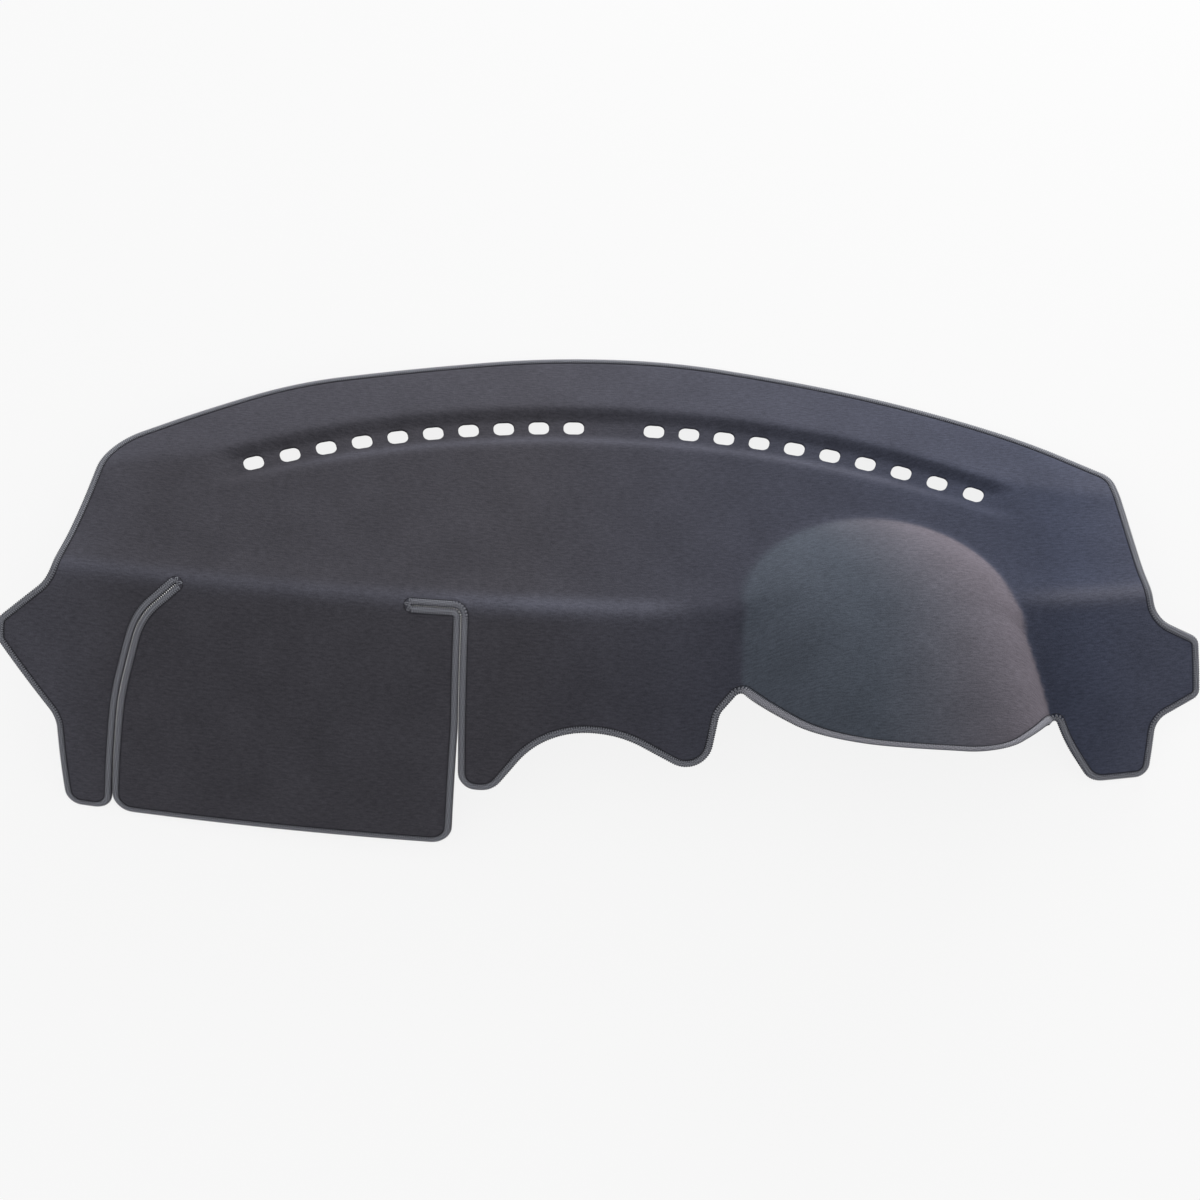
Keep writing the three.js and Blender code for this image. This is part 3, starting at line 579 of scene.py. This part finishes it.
def carpet_material():
    """The tone is a charcoal that shifts to blue across the sheet, then to the paler hood grey, to its
    painted highlight and to the painted highlights and paler ends by their shares. Ribs are a noise
    stretched across the sheet and tufts a fine one in three dimensions: both make the contrast of the
    fibres and the relief."""
    material, tree = new_material("needled_polyester")
    flat = add_node(tree, "UVMap", {}, uv_map="sheet").outputs["UV"]
    place = add_node(tree, "TexCoord", {}).outputs["Object"]
    stretched = add_node(tree, "Mapping", {
        "Vector": flat, "Scale": (1 / (RIB_LENGTH_MM * MM), 1 / (RIB_SPACING_MM * MM), 1)}).outputs["Vector"]
    ribs = add_node(tree, "TexNoise", {"Vector": stretched, "Scale": 1.0, "Detail": 2.0}).outputs["Fac"]
    tufts = add_node(tree, "TexNoise", {
        "Vector": place, "Scale": 1 / (TUFT_MM * MM), "Detail": 2.0, "Roughness": 0.6}).outputs["Fac"]
    mottle = add_node(tree, "TexNoise", {
        "Vector": flat, "Scale": 1 / (MOTTLE_MM * MM), "Detail": 2.0}).outputs["Fac"]
    across = add_node(tree, "SeparateXYZ", {"Vector": flat}).outputs["X"]
    tone = add_node(tree, "MapRange", {
        "Value": across, "From Min": BLUE_FROM_M, "From Max": BLUE_TO_M}).outputs["Result"]
    tone = add_node(tree, "Mix", {
        "Factor": tone, "A": linear(CHARCOAL), "B": linear(BLUE_CHARCOAL)}, data_type="RGBA").outputs[2]
    # Painted highlight: the hood's grey lightens on its back and right, where the light falls.
    hood_tone = add_node(tree, "Mix", {
        "Factor": add_node(tree, "Attribute", {}, attribute_name="hood_highlight").outputs["Fac"],
        "A": linear(HOOD_GREY), "B": linear(HOOD_HIGHLIGHT_GREY)}, data_type="RGBA").outputs[2]
    hood = add_node(tree, "Attribute", {}, attribute_name="hood").outputs["Fac"]
    tone = add_node(tree, "Mix", {"Factor": hood, "A": tone, "B": hood_tone}, data_type="RGBA").outputs[2]
    # Painted highlights along the crease, behind the channel and on the channel's front wall, and paler
    # ends.
    pale_highlight = add_node(tree, "Attribute", {}, attribute_name="pale_highlight").outputs["Fac"]
    tone = add_node(tree, "Mix", {
        "Factor": pale_highlight, "A": tone, "B": linear(PALE_HIGHLIGHT_GREY)}, data_type="RGBA").outputs[2]
    weave = add_node(tree, "Math", {0: ribs, 1: tufts}, operation="ADD").outputs[0]
    fibre = add_node(tree, "MapRange", {
        "Value": weave, "From Min": 0.65, "From Max": 1.35,
        "To Min": 1 - FIBRE_CONTRAST, "To Max": 1 + FIBRE_CONTRAST}).outputs["Result"]
    patches = add_node(tree, "MapRange", {
        "Value": mottle, "From Min": 0.3, "From Max": 0.7,
        "To Min": 1 - MOTTLE_CONTRAST, "To Max": 1 + MOTTLE_CONTRAST}).outputs["Result"]
    contrast = add_node(tree, "Math", {0: fibre, 1: patches}, operation="MULTIPLY").outputs[0]
    colour = add_node(tree, "VectorMath", {0: tone, "Scale": contrast}, operation="SCALE").outputs[0]
    rib_relief = add_node(tree, "Bump", {
        "Height": ribs, "Distance": RIB_RELIEF_MM * MM, "Strength": 1.0}).outputs["Normal"]
    relief = add_node(tree, "Bump", {
        "Height": tufts, "Distance": TUFT_RELIEF_MM * MM, "Strength": 1.0,
        "Normal": rib_relief}).outputs["Normal"]
    shader = add_node(tree, "BsdfPrincipled", {
        "Base Color": colour, "Roughness": 0.95, "IOR": 1.5, "Specular IOR Level": 0.1,
        "Sheen Weight": 0.15, "Sheen Roughness": 0.6, "Sheen Tint": linear(HOOD_HIGHLIGHT_GREY),
        "Normal": relief})
    add_node(tree, "OutputMaterial", {"Surface": shader.outputs["BSDF"]})
    return material


carpet = carpet_mesh(carpet_material())
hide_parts("carpet_mat")
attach(carpet, "root")

# The overlock that keeps the cut edge from fraying. Three bulked polyester yarns run round the
# whole outline: one swings over the top, one under the bottom, and the needle's yarn locks both
# in a row of short stitches on the needle line.
STITCH_LENGTH = 2.8
YARN_HALF_WIDTH = 0.76
YARN_HALF_HEIGHT = 0.48
INNER_ANGLE = math.radians(-46.0)
OUTER_ANGLE = math.radians(50.0)
UNDER_START = math.radians(84.0)
UNDER_END = math.radians(240.0)
NEEDLE_DIP = 0.45
NEEDLE_SINK = 0.35
NEEDLE_SET_BACK = 0.3
CUT_LENGTH = np.linalg.norm(cut_line - np.roll(cut_line, -1, axis=0), axis=1).sum()
STITCHES = round(CUT_LENGTH / STITCH_LENGTH)


def edge_stations(count):
    """Places on the cut line at even distances, with their inward directions."""
    line = np.concatenate([cut_line, cut_line[:1]])
    turn = inward(cut_line)
    turn = np.concatenate([turn, turn[:1]])
    length = np.concatenate([[0], np.cumsum(np.linalg.norm(np.diff(line, axis=0), axis=1))])
    at = length[-1] * np.arange(count) / count
    place = np.stack([np.interp(at, length, line[:, k]) for k in (0, 1)], -1)
    way = np.stack([np.interp(at, length, turn[:, k]) for k in (0, 1)], -1)
    return place, unit(way)


def swept_yarn(name, path, outward, sides, half_width, half_height, material, hood):
    """A closed yarn: an oval section, wide along the surface and low off it, carried round a closed
    path, with the running length and the way round the section kept as its UV map and the share
    of the hood at each place on the path."""
    along = unit(np.roll(path, -1, axis=0) - np.roll(path, 1, axis=0))
    across = unit(np.cross(along, outward))
    off = np.cross(across, along)
    angle = 2 * math.pi * np.arange(sides) / sides
    ring = (path[:, None] + half_width * np.cos(angle)[None, :, None] * across[:, None]
            + half_height * np.sin(angle)[None, :, None] * off[:, None])
    count = len(path)
    index = np.arange(count * sides).reshape(count, sides)
    further = np.roll(index, -1, axis=0)
    quads = np.stack([index, np.roll(index, -1, axis=1), np.roll(further, -1, axis=1), further], -1)
    run = np.cumsum(np.linalg.norm(path - np.roll(path, 1, axis=0), axis=1))
    uv = np.stack([np.repeat(run, sides), np.tile(angle / (2 * math.pi), count)], -1)
    return mesh_piece(name, laid_down(ring.reshape(-1, 3)), [quads.reshape(-1, 4)[:, ::-1]], material,
                      uv * (MM, 1), {"hood": np.repeat(hood, sides)})


def looper_yarn(name, start, end, points_per_stitch, sides, material):
    """A looper's yarn swings between two angles on the rolled edge once in each stitch. The angle
    is measured from straight up towards the outside, round an ellipse about the roll's middle."""
    place, way = edge_stations(STITCHES * points_per_stitch)
    phase = 2 * math.pi * np.arange(len(place)) / points_per_stitch
    angle = (start + end) / 2 - (end - start) / 2 * np.cos(phase)
    inside = ROLL_MIDDLE - ROLL_HALF_WIDTH * np.sin(angle)
    rise = ROLL_HALF_HEIGHT * np.cos(angle) - CARPET_THICKNESS / 2
    roll_middle = place + way * ROLL_MIDDLE
    normal = mould_normal(roll_middle)
    path = mould(place + way * inside[:, None]) + normal * rise[:, None]
    centre = mould(roll_middle) - normal * CARPET_THICKNESS / 2
    return swept_yarn(name, path, unit(path - centre), sides, YARN_HALF_WIDTH, YARN_HALF_HEIGHT, material,
                      painted_tone_shares(roll_middle)["hood"])


def needle_yarn(name, points_per_stitch, sides, material):
    """The needle's yarn runs along the needle line and dips into the carpet once in each stitch."""
    place, way = edge_stations(STITCHES * points_per_stitch)
    phase = 2 * math.pi * np.arange(len(place)) / points_per_stitch
    flat = place + way * (NEEDLE_LINE - NEEDLE_SET_BACK)
    normal = mould_normal(flat)
    rise = -NEEDLE_SINK - NEEDLE_DIP * np.cos(phase)
    path = mould(flat) + normal * rise[:, None]
    return swept_yarn(name, path, normal, sides, YARN_HALF_HEIGHT, YARN_HALF_HEIGHT, material,
                      painted_tone_shares(flat)["hood"])


# Bulked polyester yarn: two plies twisted together, soft and matt. The upper looper's is a
# lighter grey than the carpet and paler on the hood, and the other two are nearly black.
# The twist is drawn as slanting bands along the yarn's running length.
LIGHT_YARN = (0x696A71, 0x90929A)
HOOD_YARN = (0x84848C, 0xABABB4)
DARK_YARN = (0x26262A, 0x3A3A40)
PLY_TWIST_MM = 1.6
PLY_RELIEF_MM = 0.15


def yarn_material(name, colours, hood_colours):
    """Slanting bands by a wave over the sum of running length and turn round the section: they mix
    two greys, each of which shifts to its own grey on the hood."""
    material, tree = new_material(name)
    place = add_node(tree, "UVMap", {}, uv_map="sheet").outputs["UV"]
    twist = add_node(tree, "Mapping", {"Vector": place, "Scale": (1 / (PLY_TWIST_MM * MM), 1, 1)})
    bands = add_node(tree, "TexWave", {
        "Vector": twist.outputs["Vector"], "Scale": 0.32, "Distortion": 1.2, "Detail": 1.0},
        bands_direction="DIAGONAL").outputs["Fac"]
    hood = add_node(tree, "Attribute", {}, attribute_name="hood").outputs["Fac"]
    dark, light = [add_node(tree, "Mix", {
        "Factor": hood, "A": linear(new), "B": linear(hood_colour)}, data_type="RGBA").outputs[2]
        for new, hood_colour in zip(colours, hood_colours)]
    colour = add_node(tree, "Mix", {"Factor": bands, "A": dark, "B": light}, data_type="RGBA")
    relief = add_node(tree, "Bump", {
        "Height": bands, "Distance": PLY_RELIEF_MM * MM, "Strength": 0.7}).outputs["Normal"]
    shader = add_node(tree, "BsdfPrincipled", {
        "Base Color": colour.outputs[2], "Roughness": 0.85, "IOR": 1.5, "Specular IOR Level": 0.15,
        "Sheen Weight": 0.1, "Normal": relief})
    add_node(tree, "OutputMaterial", {"Surface": shader.outputs["BSDF"]})
    return material


light_yarn = yarn_material("light_polyester_yarn", LIGHT_YARN, HOOD_YARN)
dark_yarn = yarn_material("dark_polyester_yarn", DARK_YARN, DARK_YARN)
upper = looper_yarn("upper_looper_yarn", INNER_ANGLE, OUTER_ANGLE, points_per_stitch=10, sides=5,
                    material=light_yarn)
lower = looper_yarn("lower_looper_yarn", UNDER_START, UNDER_END, points_per_stitch=8, sides=4,
                    material=dark_yarn)
needle = needle_yarn("needle_yarn", points_per_stitch=6, sides=4, material=dark_yarn)
for piece in (upper, lower, needle):
    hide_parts("edge_overlock")
    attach(piece, "root")

# The studio: a pale floor that shows white to the camera and keeps the mat's soft shadow, an even
# grey light all round that shows white too, and a wide soft light low behind the driver's side,
# whose direction is given on the mould.
FLOOR_HALF = 30.0
FLOOR_GREY = 0xE6E6E6
FLOOR_GLOW = 0.86
SKY_STRENGTH = 0.62
SOFTBOX_SIZE = (2.0, 1.2)
SOFTBOX_DISTANCE = 3.0
SOFTBOX_FROM = (0.37, 0.80, 0.47)
SOFTBOX_WATTS = 72.0


def ray_that_sees(tree):
    """One for rays from the camera, a mirror or glass, and nought for light spread by matt surfaces:
    the largest of the three flags."""
    path = add_node(tree, "LightPath", {})
    seen = add_node(tree, "Math", {0: path.outputs["Is Camera Ray"], 1: path.outputs["Is Glossy Ray"]},
                    operation="MAXIMUM").outputs[0]
    return add_node(tree, "Math", {0: seen, 1: path.outputs["Is Transmission Ray"]},
                    operation="MAXIMUM").outputs[0]


def floor_material():
    """Diffuse to light, and to camera and mirror rays partly glowing, so that lit floor is white."""
    material, tree = new_material("pale_studio_floor")
    seen = ray_that_sees(tree)
    matt = add_node(tree, "BsdfDiffuse", {"Color": linear(FLOOR_GREY)}).outputs["BSDF"]
    glow = add_node(tree, "Emission", {"Strength": 1.0}).outputs["Emission"]
    share = add_node(tree, "Math", {0: seen, 1: FLOOR_GLOW}, operation="MULTIPLY").outputs[0]
    mixed = add_node(tree, "MixShader", {0: share, 1: matt, 2: glow}).outputs["Shader"]
    add_node(tree, "OutputMaterial", {"Surface": mixed})
    return material


floor_corners = np.array([(-1, -1, 0), (1, -1, 0), (1, 1, 0), (-1, 1, 0)]) * FLOOR_HALF
floor = mesh_piece("floor", floor_corners, [np.array([[0, 1, 2, 3]])], floor_material())

world = bpy.data.worlds.new("even_grey")
bpy.context.scene.world = world
world.use_nodes = True
world.node_tree.nodes.clear()
sky_level = add_node(world.node_tree, "MapRange", {
    "Value": ray_that_sees(world.node_tree), "To Min": SKY_STRENGTH, "To Max": 1.0}).outputs["Result"]
sky = add_node(world.node_tree, "Background", {"Color": (1, 1, 1, 1), "Strength": sky_level})
add_node(world.node_tree, "OutputWorld", {"Surface": sky.outputs["Background"]})

mat_middle = np.array(cad_box).mean(0)
softbox = bpy.data.objects.new("softbox", bpy.data.lights.new("softbox", "AREA"))
softbox.data.shape = "RECTANGLE"
softbox.data.size, softbox.data.size_y = SOFTBOX_SIZE
softbox.data.energy = SOFTBOX_WATTS
softbox_way = Vector(rest_turn @ np.array(SOFTBOX_FROM)).normalized()
softbox.matrix_world = (Matrix.Translation(Vector(mat_middle) + softbox_way * SOFTBOX_DISTANCE)
                        @ softbox_way.to_track_quat("Z", "Y").to_matrix().to_4x4())
bpy.context.scene.collection.objects.link(softbox)

# The camera looks down on the mat from in front, square to its width: 57 degrees above the plane
# of its top, 2.15 m from the middle of the crease, and rolled a little, as the photograph was taken.
VIEW_ELEVATION_DEG = 57.0
VIEW_DISTANCE = 2150.0
VIEW_ROLL_DEG = 1.5
VIEW_PITCH_DEG = 0.253
SENSOR_MM = 36.0
PICTURE_PIXELS = 1200
FOCAL_PIXELS = 1811.3

elevation = math.radians(VIEW_ELEVATION_DEG)
camera_place = VIEW_DISTANCE * np.array([0, -math.cos(elevation), math.sin(elevation)])
camera_turn = (Matrix.Rotation(math.pi / 2 - elevation + math.radians(VIEW_PITCH_DEG), 3, "X")
               @ Matrix.Rotation(math.radians(VIEW_ROLL_DEG), 3, "Z"))
camera = bpy.data.objects.new("camera", bpy.data.cameras.new("camera"))
camera.data.sensor_width = SENSOR_MM
camera.data.lens = SENSOR_MM * FOCAL_PIXELS / PICTURE_PIXELS
camera.matrix_world = (Matrix.Translation(laid_down(camera_place[None])[0])
                       @ (Matrix(rest_turn.tolist()) @ camera_turn).to_4x4())
bpy.context.scene.collection.objects.link(camera)
bpy.context.scene.camera = camera
bpy.context.scene.view_settings.view_transform = "Standard"
